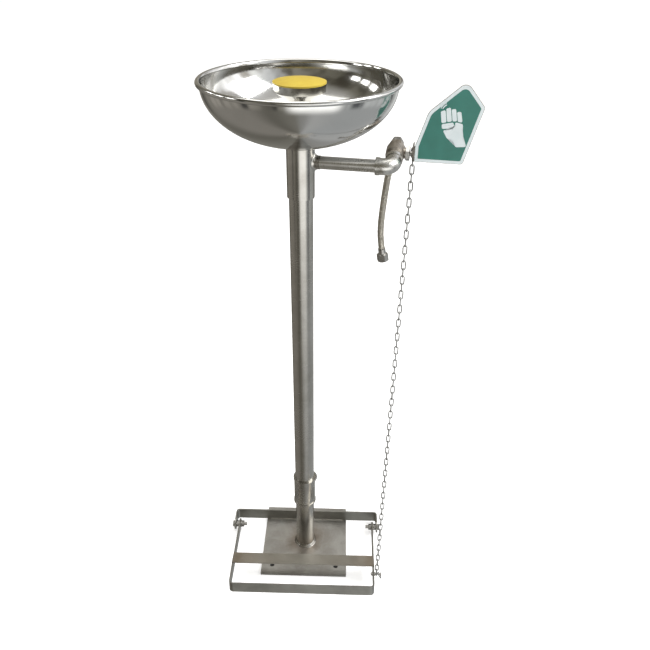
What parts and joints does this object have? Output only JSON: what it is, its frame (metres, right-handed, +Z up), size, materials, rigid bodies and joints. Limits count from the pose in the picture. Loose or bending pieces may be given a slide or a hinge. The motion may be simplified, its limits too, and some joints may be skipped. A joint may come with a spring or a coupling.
{
  "type": "emergency eye and face wash",
  "caption": "Pedestal emergency eye and face wash: a steel bowl with a capped spray head on a pole, opened by a push flag or a foot treadle through a chain.",
  "frame": {"origin": "on the pole's axis at the underside of the base plate, at the centre of the anchor holes", "axes": "+Z up along the pole, +Y towards the drain side away from the user, +X to the user's right, towards the push flag"},
  "size_m": [0.4742, 0.3319, 1.0897],
  "materials": {
    "satin_steel": "satin",
    "polished_steel": "polished",
    "dark_steel": "rolled",
    "cast_steel": "cast",
    "fastener_steel": "satin",
    "chain_steel": "galvanised",
    "yellow_plastic": "gloss",
    "green_sign": "printed",
    "seal_rubber": "matt",
    "white_plastic": "satin",
    "braid": "braided"
  },
  "bodies": {
    "stand": {"base_plate": "dark_steel", "stub_pipe": "satin_steel", "drain_tee": "satin_steel", "main_pipe": "satin_steel", "inlet_tee": "satin_steel", "inlet_arm": "satin_steel", "inner_elbow": "cast_steel", "riser_pipe": "satin_steel", "arm_elbow": "cast_steel", "bowl": "polished_steel", "bowl_collar": "satin_steel", "bowl_gaskets": "seal_rubber", "drain_flange": "polished_steel", "spray_housing": "polished_steel", "aerator_screen": "white_plastic", "nozzle_gasket": "seal_rubber", "nozzle_plate": "polished_steel", "nozzle_ring": "polished_steel", "valve_body": "cast_steel", "valve_cap": "cast_steel", "ball_seats": "white_plastic", "stem_packing": "white_plastic", "gland_nut": "fastener_steel", "pivot_bracket": "dark_steel", "pivot_bolts": "fastener_steel", "pivot_lock_nuts": "fastener_steel", "pivot_washers": "fastener_steel", "pivot_end_nuts": "fastener_steel", "hose_washer": "seal_rubber", "upper_hose_nut": "fastener_steel", "upper_hose_tail": "fastener_steel", "upper_ferrule": "fastener_steel", "hose": "braid", "lower_ferrule": "fastener_steel", "lower_hose_nut": "fastener_steel"},
    "treadle": {"treadle_frame": "dark_steel", "tread_bar": "dark_steel", "chain_bolt": "fastener_steel", "chain_nuts": "fastener_steel", "chain_tail": "chain_steel"},
    "handle": {"valve_ball": "polished_steel", "valve_stem": "fastener_steel", "push_flag": "fastener_steel", "flag_label": "green_sign", "handle_washer": "fastener_steel", "handle_nut": "fastener_steel"},
    "chain_run": {"chain": "chain_steel"},
    "cover": {"dust_cover": "yellow_plastic"}
  },
  "joints": [
    {"name": "treadle_pivot", "type": "hinge", "parent": "stand", "child": "treadle", "pos_m": [0, 0.033, 0.0185], "axis": [1, 0, 0], "range_deg": [0, 7.5]},
    {"name": "valve_turn", "type": "hinge", "parent": "stand", "child": "handle", "pos_m": [0.189, 0.01841, 0.96548], "axis": [-0.9884, 0.1521, 0], "range_deg": [0, 90]},
    {"name": "chain_swing", "type": "hinge", "parent": "treadle", "child": "chain_run", "pos_m": [0.168, -0.118, 0.03838], "axis": [1, 0, 0], "range_deg": [-7.5, 0]},
    {"name": "cover_lift", "type": "slide", "parent": "stand", "child": "cover", "axis": [0, 0, 1], "range_m": [0, 0.06]}
  ],
  "couplings": [
    {"joint": "valve_turn", "follows": "treadle_pivot", "ratio": 12},
    {"joint": "chain_swing", "follows": "treadle_pivot", "ratio": -1}
  ]
}
